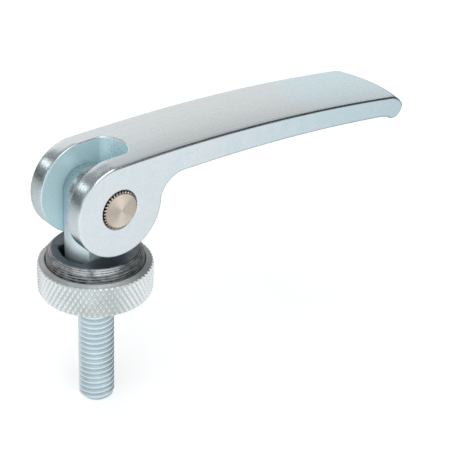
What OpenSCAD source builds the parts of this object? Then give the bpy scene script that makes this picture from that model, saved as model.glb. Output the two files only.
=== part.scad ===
// Eccentric cam lever with an eye bolt, a contact plate and a setting nut.
// The lever turns about the pivot pin and its cam ears press on the contact plate.
// Origin: centre of the nut's underside, on the bolt's axis. +Z up the bolt, +X along the lever's arm.
// All sizes in millimetres.

/* [Bolt] */
// Outside diameter of the stud's thread
stud_d = 6; // [5:0.1:6.2]
// Pitch of the stud's thread
stud_pitch = 1; // [0.8:0.05:1.5]
// Depth of the stud's thread
stud_thread_depth = 0.6; // [0.3:0.05:0.65]
// Width of the flat left on each thread crest
stud_crest_w = 0.2; // [0.1:0.05:0.3]
// Length of stud that stands below the nut's underside
stud_length = 21.5; // [12:0.5:40]
// Chamfer at the stud's end
stud_chamfer = 0.8; // [0.4:0.1:1.2]
// Diameter of the bolt's round head
head_d = 10; // [9.2:0.1:10.4]
// Width of the head across its two flats
head_flat_w = 6.8; // [6.4:0.1:7.2]
// Height of the head's lower end above the nut's underside
head_start = 2.3; // [2:0.1:2.8]
// Bevel around the head's lower end
head_bevel = 0.4; // [0.2:0.1:0.8]
// Diameter of the relief between the thread and the head
relief_d = 4.8; // [4.4:0.1:4.9]

/* [Pivot pin] */
// Height of the pin's axis above the nut's underside
pin_axis_z = 17.4; // [17.3:0.1:19]
// Diameter of the pin, over its knurl
pin_d = 6.4; // [5.6:0.1:6.8]
// How far each pin end stands out of the lever's side
pin_proud = 0.3; // [0.1:0.1:0.8]
// Bevel around each pin end
pin_bevel = 0.3; // [0.1:0.1:0.6]
// Radial running clearance of the pin in the bolt's eye
eye_clearance = 0.05; // [0.02:0.01:0.1]

/* [Cam ears] */
// Radius of the cam
cam_r = 8; // [7.8:0.05:8.2]
// Distance of the cam's centre from the pin's axis
cam_offset = 0.4; // [0.2:0.05:0.7]
// Direction of that offset, below the arm's direction
cam_offset_angle = 60; // [50:1:90]
// Width of the lever over both ears
boss_w = 13.6; // [12.4:0.2:14.4]
// Clearance between the bolt's flats and each ear
slot_clearance = 0.1; // [0.05:0.01:0.2]
// Reach of the slot's arched end from the pin's axis
slot_end_x = 5.45; // [5.35:0.05:6]
// Radius of the slot's arched end
slot_end_r = 4.1; // [3.9:0.1:5]
// Bevel at the mouth of each pin hole
pin_hole_bevel = 0.2; // [0.1:0.05:0.4]

/* [Lever arm] */
// Reach of the lever from the bolt's axis to its tip
lever_reach = 64.2; // [58:0.2:82]
// Width of the arm at its tip
tip_w = 15; // [14.2:0.2:18]
// Height of the arm's top above the pin's axis
arm_top = 7.6; // [7.3:0.05:7.7]
// Radius of the arm's lengthwise curve on top
arm_top_r = 375; // [330:5:500]
// Distance of that curve's summit from the pin's axis
arm_top_x = 5; // [4:0.5:7]
// Radius of the arm's lengthwise curve underneath
arm_under_r = 340; // [310:5:500]
// Thickness of the arm where it leaves the neck
arm_thick = 4.6; // [4:0.1:5]
// Radius of the top's crown across the arm
crown_r = 130; // [80:5:250]
// Radius of the hollow under the neck
neck_r = 4.55; // [4:0.05:5]
// Distance of the neck hollow's centre from the pin's axis
neck_x = 12.6; // [12.4:0.1:13.2]
// Radius of the rounded bead under the tip
bead_r = 2.15; // [2:0.05:2.3]
// Radius of the top's roll-over at the tip
tip_roll_r = 4.4; // [4:0.1:5]
// Length of that roll-over
tip_roll_l = 3.2; // [3:0.1:3.4]
// Radius of the tip's bowed end seen from above
tip_bow_r = 21.5; // [20:0.5:40]
// Radius of the tip's corners seen from above
tip_corner_r = 0.6; // [0.4:0.1:1]
// Distance from the pin's axis where the arm starts to widen
taper_start_x = 9; // [8.6:0.2:14]
// Rounding along the arm's top edges and around the ears
edge_round = 0.6; // [0.5:0.05:0.8]

/* [Contact plate] */
// Height of the plate's top above the nut's underside
plate_top = 7.7; // [7.4:0.1:8]
// Height of the plate's lower face above the nut's underside
plate_bottom = 2.8; // [2.6:0.1:3]
// Width of the chamfer around the plate's top
plate_chamfer = 0.85; // [0.5:0.05:1.1]
// Diameter of the round part of the plate's bore
plate_bore_d = 11.9; // [11.2:0.1:12.4]
// Clearance between the bolt's flats and each flat of the bore
bore_flat_clearance = 0.1; // [0.05:0.01:0.2]
// Bevel around the plate's lower edge
plate_lower_bevel = 0.4; // [0.2:0.1:0.8]

/* [Setting nut] */
// Outside diameter of the nut, over its knurl
nut_d = 19; // [18.6:0.2:22]
// Radial wall of the nut outside the plate's thread
nut_wall = 1.5; // [1.4:0.05:2]
// Height of the nut
nut_h = 5.6; // [5.2:0.1:6]
// Radial width of the nut's top chamfer
nut_top_bevel_w = 1.05; // [0.6:0.05:1.1]
// Height of the nut's top chamfer
nut_top_bevel_h = 0.5; // [0.3:0.05:0.9]
// Radial width of the nut's lower chamfer
nut_low_bevel_w = 0.3; // [0.1:0.05:0.8]
// Height of the nut's lower chamfer
nut_low_bevel_h = 0.5; // [0.2:0.05:0.8]
// Thickness of the nut's floor
nut_floor = 1.3; // [1:0.1:1.5]
// Radial running clearance of the nut on the plate's thread
thread_clearance = 0.05; // [0.02:0.01:0.1]
// Radial clearance of the stud in the nut's floor
floor_clearance = 0.3; // [0.2:0.05:0.6]
// Bevel at the mouth of the nut's thread
nut_mouth_bevel = 0.25; // [0.1:0.05:0.3]

/* [Hidden] */
// facets of round surfaces
$fn = 96;
// facets of the long lengthwise curves
curve_fn = 720;
// facets of the thread's rings and the nose, of rounded edges and of the tip's bow
ring_fn = 32;
round_fn = 16;
bow_fn = 90;
// overlap that joins or cuts cleanly
lap = 1;
// one half, for radii and centred pieces
half = 0.5;
stud_r = stud_d * half;
head_r = head_d * half;
relief_r = relief_d * half;
pin_r = pin_d * half;
eye_r = pin_r + eye_clearance;
slot_w = head_flat_w + 2 * slot_clearance;
plate_flat_w = head_flat_w + 2 * bore_flat_clearance;
nut_r = nut_d * half;
plate_r = nut_r - nut_wall;
nut_bore_r = plate_r + thread_clearance;
floor_hole_r = stud_r + floor_clearance;
pin_length = boss_w + 2 * pin_proud;
cam_x = cam_offset * cos(cam_offset_angle);
cam_z = -cam_offset * sin(cam_offset_angle);
// room kept around the lever by the pieces that trim it
trim = 3 * cam_r;
// underside of the arm at the neck, and the neck hollow's centre
under_z = arm_top - arm_thick;
neck_z = under_z - neck_r;
// height of the top curve's and underside curve's centres
top_centre_z = arm_top - arm_top_r;
under_centre_z = under_z - arm_under_r;
// angle at which each side of the arm widens
taper_angle = atan((tip_w - boss_w) * half / (lever_reach - taper_start_x));
// centre of the tip's bow, and of the roll-over, which stands a little proud so that the top trims it
bow_x = lever_reach - tip_bow_r;
roll_proud = 0.02;
roll_turn = asin((lever_reach - tip_roll_l - arm_top_x) / arm_top_r);
roll_x = arm_top_x + (arm_top_r - tip_roll_r) * sin(roll_turn);
roll_z = top_centre_z + (arm_top_r - tip_roll_r) * cos(roll_turn) + roll_proud;
// the bead's centre, level with the end of the roll-over
bead_z = roll_z + sqrt(tip_roll_r * tip_roll_r - (lever_reach - roll_x) * (lever_reach - roll_x));
// a rounding stands this much proud of the two faces that it joins, so that they cross cleanly
round_proud = 0.05;
// the tip's corner circles stand this much proud of the sides
corner_proud = 0.1;
// radius of the arm's top edges about the top curve's centre
edge_r = arm_top_r - boss_w * boss_w * half * half * half / crown_r;
// where the neck's hollow leaves the cam, as an angle about the cam's centre
neck_gap = norm([neck_x - cam_x, neck_z - cam_z]);
neck_way = atan2(neck_z - cam_z, neck_x - cam_x);
cam_swing = acos(min(1, (neck_gap * neck_gap + cam_r * cam_r - neck_r * neck_r) / (2 * neck_gap * cam_r)));
// angle at which the rounding of the ears starts, under the top curve
rim_from = 80;
// number of the thread's grooves
groove_count = floor((stud_length - stud_chamfer) / stud_pitch);
// angles of the top curve past both ends of the lever
curve_from = asin((cam_r + lap - cam_x + arm_top_x) / arm_top_r);
curve_to = asin((lever_reach + lap - arm_top_x) / arm_top_r);

// Side outline of the lever without its nose: cam, neck and arm. Origin on the pin's axis.
module lever_side() {
    translate([cam_x, cam_z]) circle(r = cam_r);
    difference() {
        translate([0, neck_z]) square([neck_x, trim]);
        translate([neck_x, neck_z]) circle(r = neck_r);
    }
    difference() {
        translate([neck_x, -trim]) square([lever_reach - neck_x, 2 * trim]);
        translate([neck_x, under_centre_z]) circle(r = arm_under_r, $fn = curve_fn);
    }
}

// Nose along the tip's bowed end: the top rolls over to a rounded bead.
module tip_nose() {
    nose_span = asin(tip_w / tip_bow_r);
    translate([bow_x, 0, 0])
        rotate([0, 0, -nose_span])
            rotate_extrude(angle = 2 * nose_span, $fn = bow_fn)
                intersection() {
                    translate([roll_x - bow_x, roll_z]) circle(r = tip_roll_r, $fn = ring_fn);
                    union() {
                        translate([tip_bow_r - bead_r, bead_z]) circle(r = bead_r, $fn = ring_fn);
                        translate([tip_bow_r - tip_roll_l - lap, bead_z])
                            square([tip_roll_l + lap - bead_r, trim]);
                    }
                }
}

// Plan of the arm up to its nose.
module bow_plan() {
    translate([-trim, -tip_w]) square([trim + bow_x, 2 * tip_w]);
    translate([bow_x, 0]) circle(r = tip_bow_r - tip_roll_l, $fn = bow_fn);
}

// Outline of the lever seen from above: parallel ears, then an arm that widens to a round-cornered tip.
module lever_plan() {
    end_x = lever_reach + lap;
    end_y = tip_w * half + lap * tan(taper_angle);
    corner_y = tip_w * half - tip_corner_r;
    corner_x = bow_x + sqrt((tip_bow_r - tip_corner_r) * (tip_bow_r - tip_corner_r) - corner_y * corner_y);
    intersection() {
        polygon([
            [-trim, -boss_w * half],
            [taper_start_x, -boss_w * half],
            [end_x, -end_y],
            [end_x, end_y],
            [taper_start_x, boss_w * half],
            [-trim, boss_w * half]
        ]);
        union() {
            translate([-trim, -tip_w]) square([trim + corner_x, 2 * tip_w]);
            translate([corner_x - lap, -corner_y]) square([end_x - corner_x + 2 * lap, 2 * corner_y]);
            for (side = [-1, 1]) {
                translate([corner_x, side * corner_y]) circle(r = tip_corner_r + corner_proud);
            }
        }
    }
}

// Everything under the crowned, lengthwise curved top of the lever.
module under_crown() {
    translate([0, 0, top_centre_z])
        translate([arm_top_x, 0, 0])
            rotate([90, 0, 0])
                rotate([0, 0, 90 - curve_to])
                    rotate_extrude(angle = curve_from + curve_to, $fn = curve_fn)
                        intersection() {
                            translate([arm_top_r - trim, -tip_w]) square([trim + lap, 2 * tip_w]);
                            translate([arm_top_r - crown_r, 0]) circle(r = crown_r, $fn = curve_fn);
                        }
}

// Slot between the ears, open at the back, at the top and below, with an arched end.
module fork_slot() {
    arch_x = slot_end_x - slot_end_r;
    intersection() {
        translate([-trim, -slot_w * half]) square([2 * trim, slot_w]);
        union() {
            translate([-trim, -slot_w]) square([trim + arch_x, 2 * slot_w]);
            translate([arch_x, 0]) circle(r = slot_end_r);
        }
    }
}

// Waste outside a rounded edge: a corner with the rounding's circle taken out, at a radius about a curve's
// centre.
module edge_waste(radius) {
    inset = edge_round - round_proud;
    translate([radius - inset, boss_w * half - inset])
        difference() {
            square(inset + lap);
            circle(r = edge_round, $fn = round_fn);
        }
}

// That waste on both sides of the lever, turned about a centre of the side view from one angle to another.
// Along the top it follows the arm's widening sides.
module edge_cut(centre, radius, from, to, taper, facets) {
    for (side = [0, 1]) {
        mirror([0, side, 0])
            translate([taper_start_x, -boss_w * half, 0])
                rotate([0, 0, -taper])
                    translate([centre[0] - taper_start_x, boss_w * half, centre[1]])
                        rotate([90, 0, 0])
                            rotate([0, 0, from])
                                rotate_extrude(angle = to - from, $fn = facets) edge_waste(radius);
    }
}

// Rounded edges: around the ears, and along the lever's top.
module rounded_edges() {
    edge_cut([cam_x, cam_z], cam_r, rim_from, 360 + neck_way + cam_swing, 0, $fn);
    edge_cut([arm_top_x, top_centre_z], edge_r, 90 - curve_to, 90 + curve_from, taper_angle, curve_fn);
}

module lever() {
    color([0.78, 0.80, 0.81])
    translate([0, 0, pin_axis_z])
    difference() {
        intersection() {
            union() {
                intersection() {
                    rotate([90, 0, 0]) linear_extrude(height = 2 * tip_w, center = true) lever_side();
                    translate([0, 0, -trim]) linear_extrude(height = 2 * trim) bow_plan();
                }
                tip_nose();
            }
            translate([0, 0, -trim]) linear_extrude(height = 2 * trim) lever_plan();
            under_crown();
        }
        rounded_edges();
        translate([0, 0, -trim]) linear_extrude(height = 2 * trim) fork_slot();
        rotate([90, 0, 0]) cylinder(r = pin_r, h = 2 * tip_w, center = true);
        for (side = [-1, 1]) {
            rotate([side * 90, 0, 0])
                translate([0, 0, boss_w * half - pin_hole_bevel])
                    cylinder(r1 = pin_r, r2 = pin_r + pin_hole_bevel + lap, h = pin_hole_bevel + lap);
        }
    }
}

module pivot_pin() {
    color([0.72, 0.68, 0.62])
    translate([0, 0, pin_axis_z])
    rotate([90, 0, 0])
    rotate_extrude()
    polygon([
        [0, -pin_length * half],
        [pin_r - pin_bevel, -pin_length * half],
        [pin_r, -pin_length * half + pin_bevel],
        [pin_r, pin_length * half - pin_bevel],
        [pin_r - pin_bevel, pin_length * half],
        [0, pin_length * half]
    ]);
}

// One groove of the stud's thread, open past the crests beside it.
module thread_groove() {
    mouth = (stud_pitch - stud_crest_w) * half;
    polygon([[-stud_thread_depth, 0], [0, -mouth], [lap, -mouth], [lap, mouth], [0, mouth]]);
}

// Half outline of the bolt: chamfered stud with its thread as level grooves, relief, bevelled shoulder, round
// head and domed top.
module bolt_half() {
    difference() {
        polygon([
            [0, -stud_length],
            [stud_r - stud_chamfer, -stud_length],
            [stud_r, -stud_length + stud_chamfer],
            [stud_r, 0],
            [relief_r, stud_r - relief_r],
            [relief_r, head_start],
            [head_r - head_bevel, head_start],
            [head_r, head_start + head_bevel],
            [head_r, pin_axis_z],
            [0, pin_axis_z]
        ]);
        for (groove = [1:groove_count]) {
            translate([stud_r, (half - groove) * stud_pitch]) thread_groove();
        }
    }
    intersection() {
        translate([0, pin_axis_z]) circle(r = head_r);
        translate([0, pin_axis_z]) square([head_r + lap, head_r + lap]);
    }
}

module eye_bolt() {
    color([0.72, 0.78, 0.82])
    difference() {
        intersection() {
            rotate_extrude($fn = ring_fn) bolt_half();
            translate([-head_d, -head_flat_w * half, -stud_length - lap])
                cube([2 * head_d, head_flat_w, stud_length + pin_axis_z + head_d]);
        }
        translate([0, 0, pin_axis_z])
            rotate([90, 0, 0]) cylinder(r = eye_r, h = head_d, center = true);
    }
}

module contact_plate() {
    color([0.25, 0.26, 0.28])
    difference() {
        rotate_extrude()
            polygon([
                [0, plate_bottom],
                [plate_r - plate_lower_bevel, plate_bottom],
                [plate_r, plate_bottom + plate_lower_bevel],
                [plate_r, plate_top - plate_chamfer],
                [plate_r - plate_chamfer, plate_top],
                [0, plate_top]
            ]);
        translate([0, 0, plate_bottom - lap])
            linear_extrude(height = plate_top - plate_bottom + 2 * lap)
                intersection() {
                    circle(r = plate_bore_d * half);
                    translate([-nut_d, -plate_flat_w * half]) square([2 * nut_d, plate_flat_w]);
                }
    }
}

module setting_nut() {
    color([0.80, 0.82, 0.82])
    rotate_extrude()
    polygon([
        [floor_hole_r, 0],
        [nut_r - nut_low_bevel_w, 0],
        [nut_r, nut_low_bevel_h],
        [nut_r, nut_h - nut_top_bevel_h],
        [nut_r - nut_top_bevel_w, nut_h],
        [nut_bore_r + nut_mouth_bevel, nut_h],
        [nut_bore_r, nut_h - nut_mouth_bevel],
        [nut_bore_r, nut_floor],
        [floor_hole_r, nut_floor]
    ]);
}

lever();
pivot_pin();
eye_bolt();
contact_plate();
setting_nut();
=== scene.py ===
"""Looks of a steel eccentric cam lever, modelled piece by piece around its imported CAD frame."""

import math

import bmesh
import bpy
from mathutils import Matrix, Vector


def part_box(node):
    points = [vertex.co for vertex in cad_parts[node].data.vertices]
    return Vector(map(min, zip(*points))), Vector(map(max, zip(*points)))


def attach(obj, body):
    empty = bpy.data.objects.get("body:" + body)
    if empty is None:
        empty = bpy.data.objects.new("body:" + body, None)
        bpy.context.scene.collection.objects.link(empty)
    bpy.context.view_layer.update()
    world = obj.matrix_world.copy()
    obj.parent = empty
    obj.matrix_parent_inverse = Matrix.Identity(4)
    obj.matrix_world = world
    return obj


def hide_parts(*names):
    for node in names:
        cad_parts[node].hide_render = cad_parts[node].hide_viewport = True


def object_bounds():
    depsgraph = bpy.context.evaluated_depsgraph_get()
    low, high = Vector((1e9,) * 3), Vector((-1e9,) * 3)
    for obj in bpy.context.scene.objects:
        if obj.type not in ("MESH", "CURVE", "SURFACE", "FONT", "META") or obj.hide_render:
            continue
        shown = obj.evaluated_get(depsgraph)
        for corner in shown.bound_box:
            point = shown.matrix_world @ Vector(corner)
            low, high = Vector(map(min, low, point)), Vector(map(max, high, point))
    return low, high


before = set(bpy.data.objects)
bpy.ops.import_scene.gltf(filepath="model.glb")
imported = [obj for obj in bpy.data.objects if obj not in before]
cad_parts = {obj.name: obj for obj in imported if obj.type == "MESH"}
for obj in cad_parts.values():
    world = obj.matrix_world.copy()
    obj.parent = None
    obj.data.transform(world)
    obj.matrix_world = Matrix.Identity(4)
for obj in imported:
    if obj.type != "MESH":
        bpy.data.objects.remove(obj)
cad_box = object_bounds()

bl_info = {
    "name": "Cam lever dresser",
    "version": (1, 0, 0),
    "blender": (4, 5, 0),
    "location": "3D View > Sidebar > Cam lever",
    "description": "Models the forged lever, pin, eye bolt, contact plate and setting nut, and their studio",
    "category": "Object",
}

# Pieces are modelled in millimetres, where merges and bevels resolve fine detail, then scaled to metres.
MM = 0.001
FRONT = (0.0, -1.0, 0.0)
UP = (0.0, 0.0, 1.0)

lever_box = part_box("lever")
pin_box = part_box("pivot_pin")
bolt_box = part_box("eye_bolt")
plate_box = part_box("contact_plate")
nut_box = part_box("setting_nut")


def size(name, default, description):
    """A length that a user may change, in metres."""
    return bpy.props.FloatProperty(
        name=name, description=description, default=default, min=0.0, precision=5, unit="LENGTH", subtype="DISTANCE"
    )


def hue(name, default, description):
    """A colour that a user may change, written as an sRGB hex value."""
    return bpy.props.StringProperty(name=name, description=description, default=default)


class LeverSizes(bpy.types.PropertyGroup):
    """Sizes of the forged lever."""

    reach: size("Reach", lever_box[1].x, "From the bolt's axis to the lever's tip")
    pin_height: size("Pin height", (pin_box[0].z + pin_box[1].z) / 2, "Height of the pin's axis")
    cam_radius: size("Cam radius", 0.008, "Radius of the eccentric ears")
    cam_right: size("Cam offset along the arm", 0.0002, "Cam centre from the pin's axis, along the arm")
    cam_down: size("Cam offset down", 0.000346, "Cam centre below the pin's axis")
    boss_width: size("Width over the ears", 0.0136, "Width over both ears")
    tip_width: size("Tip width", 0.015, "Width of the arm at its tip")
    widen_from: size("Widening start", 0.009, "Where the arm starts to widen")
    arm_top: size("Top height", 0.0076, "Height of the arm's top above the pin's axis")
    top_radius: size("Top curve", 0.375, "Radius of the arm's lengthwise curve on top")
    top_summit: size("Top summit", 0.005, "Where the lengthwise curve is highest")
    under_radius: size("Underside curve", 0.34, "Radius of the arm's lengthwise curve underneath")
    thickness: size("Arm thickness", 0.0046, "Thickness of the arm where it leaves the neck")
    crown: size("Crown", 0.13, "Radius of the top's crown across the arm")
    neck_radius: size("Neck hollow", 0.00455, "Radius of the hollow under the neck")
    neck_at: size("Neck hollow position", 0.0126, "Centre of the neck hollow along the arm")
    bead: size("Tip bead", 0.00215, "Radius of the rounded bead under the tip")
    roll: size("Tip roll-over", 0.0044, "Radius of the top's roll-over at the tip")
    roll_length: size("Roll-over length", 0.0032, "Length of the top's roll-over")
    bow: size("Tip bow", 0.0215, "Radius of the tip's bowed end seen from above")
    slot_width: size("Slot width", 0.007, "Width of the slot between the ears")
    slot_end: size("Slot end", 0.00545, "Reach of the slot's arched end")
    slot_arch: size("Slot arch", 0.0041, "Radius of the slot's arched end")
    edge_round: size("Edge rounding", 0.0004, "Rounding along the edges of the arm and ears")
    slot_round: size("Slot rounding", 0.0002, "Rounding of the slot's mouth")
    hole_bevel: size("Pin hole bevel", 0.0004, "Bevel at the mouth of the pin holes")


class PinSizes(bpy.types.PropertyGroup):
    """Sizes of the knurled pivot pin."""

    diameter: size("Diameter", pin_box[1].x - pin_box[0].x, "Diameter over the knurl")
    length: size("Length", pin_box[1].y - pin_box[0].y, "Length of the pin")
    tooth_depth: size("Tooth depth", 0.0003, "Depth of the straight knurl")
    teeth: bpy.props.IntProperty(name="Teeth", description="Ridges around the pin", default=34, min=12)


class BoltSizes(bpy.types.PropertyGroup):
    """Sizes of the eye bolt."""

    stud_end: size("Stud length", -bolt_box[0].z, "Length of stud below the nut")
    stud_diameter: size("Stud diameter", 0.006, "Outside diameter of the stud's thread")
    pitch: size("Thread pitch", 0.001, "Pitch of the stud's thread")
    chamfer: size("End chamfer", 0.0008, "Chamfer at the stud's end")
    head_diameter: size("Head diameter", bolt_box[1].x - bolt_box[0].x, "Diameter of the round head")
    flats: size("Across flats", 0.0068, "Width of the head across its flats")
    head_from: size("Head start", 0.0023, "Height where the head starts")
    eye: size("Eye radius", 0.00325, "Radius of the cross bore")
    flat_round: size("Flat edge rounding", 0.00018, "Rounding along the head's flats")


class PlateSizes(bpy.types.PropertyGroup):
    """Sizes of the contact plate."""

    diameter: size("Diameter", plate_box[1].x - plate_box[0].x, "Outside diameter of the fine thread")
    bottom: size("Lower face", plate_box[0].z, "Height of the plate's lower face")
    top: size("Upper face", plate_box[1].z, "Height of the plate's upper face")
    pitch: size("Thread pitch", 0.0005, "Pitch of the fine thread")
    chamfer: size("Chamfer", 0.00085, "Chamfer around the plate's top")
    bore: size("Bore diameter", 0.0119, "Diameter of the round part of the bore")
    flats: size("Bore across flats", 0.007, "Width of the bore across its flats")


class NutSizes(bpy.types.PropertyGroup):
    """Sizes of the setting nut."""

    diameter: size("Diameter", nut_box[1].x - nut_box[0].x, "Outside diameter over the knurl")
    height: size("Height", nut_box[1].z, "Height of the nut")
    knurl_depth: size("Knurl depth", 0.0004, "Depth of the diamond knurl")
    knurl_flat: size("Knurl tip", 0.0001, "Half width of the flat left on each diamond's tip")
    diamonds: bpy.props.IntProperty(name="Diamonds", description="Diamonds around the nut", default=64, min=24)
    chamfer_width: size("Top chamfer width", 0.00105, "Radial width of the top chamfer")
    chamfer_height: size("Top chamfer height", 0.0005, "Height of the top chamfer")
    bore: size("Bore diameter", 0.0161, "Diameter of the threaded bore")
    floor: size("Floor", 0.0013, "Thickness of the nut's floor")
    stud_hole: size("Stud hole diameter", 0.0066, "Diameter of the hole for the stud")


class Finishes(bpy.types.PropertyGroup):
    """Colours of the finishes, as sRGB hex values."""

    zinc: hue("Zinc", "#DFE6E9", "Blue passivated zinc")
    zinc_warm: hue("Zinc, warm cloud", "#DFE4E5", "Where the passivation film is thin")
    zinc_cool: hue("Zinc, cool cloud", "#D6EBF0", "Where the passivation film is thick")
    zinc_side: hue("Zinc, sides", "#DEE6EA", "Film on the blasted sides")
    zinc_tip: hue("Zinc, tip", "#CBE0E7", "Bluer film on the lever's sides, towards its tip")
    # the slot's blue film, painted paler to stand in for the light inside the slot
    zinc_slot_painted_light: hue("Zinc, slot", "#E0FAFF", "Thick passivation film in the slot")
    stud: hue("Stud", "#EAF9FE", "Blue passivated zinc on the stud and head")
    nut: hue("Nut", "#EEF3F3", "Zinc on the nut")
    black: hue("Blackened steel", "#6A7278", "Oil-blackened contact plate")
    black_worn: hue("Worn thread", "#CBCDCE", "Bare steel on the plate's thread")
    pin: hue("Pin", "#DDD2C5", "Turned steel of the pin")


class StudioSettings(bpy.types.PropertyGroup):
    """Where the camera and the lamps stand."""

    azimuth: bpy.props.FloatProperty(
        name="Azimuth", description="Camera round the bolt", default=math.radians(-41.736), subtype="ANGLE"
    )
    elevation: bpy.props.FloatProperty(
        name="Elevation", description="Camera above the horizon", default=math.radians(29.641), subtype="ANGLE"
    )
    roll: bpy.props.FloatProperty(
        name="Roll", description="Camera turned about its view", default=math.radians(2.468), subtype="ANGLE"
    )
    distance: size("Distance", 0.23004, "From the camera to the bolt's origin, along the view")
    right: size("Right", 0.021236, "Camera to the right of the bolt's origin")
    above: size("Above", 0.010096, "Camera above the bolt's origin, across the view")
    aim: size("Aim", 0.018, "Height that the lamps point at, above the nut's underside")
    lens: bpy.props.FloatProperty(name="Lens", description="Focal length", default=112.0, unit="CAMERA")
    paper: hue("Paper", "#F4F4F4", "Pale paper under the object")


def mm(length):
    """A length in metres as modelling millimetres."""
    return length / MM


def linear(code):
    """An sRGB hex value as a linear colour."""
    parts = [int(code[i : i + 2], 16) / 255 for i in (1, 3, 5)]
    return tuple(c / 12.92 if c <= 0.04045 else ((c + 0.055) / 1.055) ** 2.4 for c in parts) + (1.0,)


def select_only(piece):
    """Leaves one object selected and active, in object mode."""
    if bpy.context.object and bpy.context.object.mode != "OBJECT":
        bpy.ops.object.mode_set(mode="OBJECT")
    bpy.ops.object.select_all(action="DESELECT")
    piece.select_set(True)
    bpy.context.view_layer.objects.active = piece


def outline_from(name, place):
    """A mesh of one point, open in edit mode, from which an outline is drawn."""
    bpy.ops.object.select_all(action="DESELECT")
    bpy.ops.mesh.primitive_plane_add(size=1, location=(0, 0, 0), enter_editmode=True)
    bpy.ops.mesh.select_mode(type="VERT")
    bpy.ops.mesh.merge(type="CENTER")
    bpy.ops.transform.translate(value=place)
    bpy.context.object.name = name
    return bpy.context.object


def arc(centre, turn, steps, axis=FRONT):
    """Carries the outline's last point round centre. Turn is anticlockwise, looking against the axis."""
    bpy.ops.mesh.spin(steps=steps, angle=-turn, center=centre, axis=axis)


def line(*places):
    """Carries the outline on in straight lines. Places are (radius or x, height)."""
    for x, z in places:
        here = next(v.co.copy() for v in bmesh.from_edit_mesh(bpy.context.object.data).verts if v.select)
        step = (x - here.x, 0, z - here.z)
        bpy.ops.mesh.extrude_vertices_move(TRANSFORM_OT_translate={"value": step})


def lathe(steps):
    """Turns the drawn half outline about the bolt's axis into a closed solid, and leaves edit mode."""
    bpy.ops.mesh.select_all(action="SELECT")
    bpy.ops.mesh.spin(steps=steps, angle=math.tau, center=(0, 0, 0), axis=UP)
    close_solid()


def close_solid():
    """Merges doubled points, turns the faces outwards and leaves edit mode."""
    bpy.ops.mesh.select_all(action="SELECT")
    bpy.ops.mesh.remove_doubles(threshold=0.0005)
    bpy.ops.mesh.normals_make_consistent(inside=False)
    bpy.ops.object.mode_set(mode="OBJECT")


def trim(place, way):
    """Cuts off what lies beyond a plane, in edit mode, and closes the cut."""
    bpy.ops.mesh.select_all(action="SELECT")
    bpy.ops.mesh.bisect(plane_co=place, plane_no=way, use_fill=True, clear_outer=True, threshold=0.00001)


def pick(kind, test):
    """Selects the points, edges or faces of the open mesh that pass the test."""
    bpy.ops.mesh.select_mode(type=kind)
    bpy.ops.mesh.select_all(action="DESELECT")
    mesh = bpy.context.object.data
    shape = bmesh.from_edit_mesh(mesh)
    for part in {"VERT": shape.verts, "EDGE": shape.edges, "FACE": shape.faces}[kind]:
        part.select_set(test(part))
    bmesh.update_edit_mesh(mesh)


def cut(piece, cutter, operation="DIFFERENCE"):
    """Cuts a piece with another solid, which is used up."""
    select_only(piece)
    boolean = piece.modifiers.new("cut", "BOOLEAN")
    boolean.operation = operation
    boolean.solver = "EXACT"
    boolean.object = cutter
    bpy.ops.object.modifier_apply(modifier=boolean.name)
    bpy.data.objects.remove(cutter)


def round_edges(piece, radius_of, segments, sharper_than=math.radians(30)):
    """Rounds each sharp edge by the radius that radius_of gives for it, in one bevel."""
    shape = bmesh.new()
    shape.from_mesh(piece.data)
    weight = shape.edges.layers.float.new("bevel_weight_edge")
    sharp = [e for e in shape.edges if len(e.link_faces) == 2 and e.calc_face_angle() > sharper_than]
    radii = {e: radius_of(e) for e in sharp}
    widest = max(radii.values())
    for edge, radius in radii.items():
        edge[weight] = radius / widest
    shape.to_mesh(piece.data)
    shape.free()
    select_only(piece)
    bevel = piece.modifiers.new("rounding", "BEVEL")
    bevel.limit_method = "WEIGHT"
    bevel.width = widest
    bevel.segments = segments
    bevel.use_clamp_overlap = False
    bpy.ops.object.modifier_apply(modifier=bevel.name)


def threaded_bar(name, radius, depth, pitch, low, high, steps):
    """A closed bar with a right-hand thread, a little longer than low to high."""
    root = radius - depth
    bar = outline_from(name, (root, 0, low - 2 * pitch))
    ridge = ((0.12, root), (0.37, radius), (0.63, radius), (0.88, root), (1.0, root))
    line(*((r, low + (share - 2) * pitch) for share, r in ridge))
    bpy.ops.object.mode_set(mode="OBJECT")
    screw = bar.modifiers.new("thread", "SCREW")
    screw.angle = math.tau
    screw.screw_offset = pitch
    screw.iterations = math.ceil((high - low) / pitch) + 4
    screw.steps = screw.render_steps = steps
    bpy.ops.object.modifier_apply(modifier=screw.name)
    bpy.ops.object.mode_set(mode="EDIT")
    bpy.ops.mesh.select_all(action="SELECT")
    bpy.ops.mesh.remove_doubles(threshold=0.0005)
    for height, side in ((low - pitch / 2, -1), (high + pitch / 2, 1)):
        trim((0, 0, height), (0, 0, side))
    close_solid()
    return bar


def finish_piece(piece, node, body, material, smooth=30):
    """Scales a piece to metres, smooths it, gives it its finish and hands it to its body in place of its CAD node."""
    select_only(piece)
    bpy.ops.transform.resize(value=(MM, MM, MM), center_override=(0, 0, 0))
    bpy.ops.object.transform_apply(location=True, rotation=True, scale=True)
    bpy.ops.object.shade_smooth_by_angle(angle=math.radians(smooth))
    weighted = piece.modifiers.new("even shading", "WEIGHTED_NORMAL")
    weighted.keep_sharp = True
    bpy.ops.object.modifier_apply(modifier=weighted.name)
    piece.data.materials.clear()
    piece.data.materials.append(material)
    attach(piece, body)
    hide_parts(node)


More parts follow.
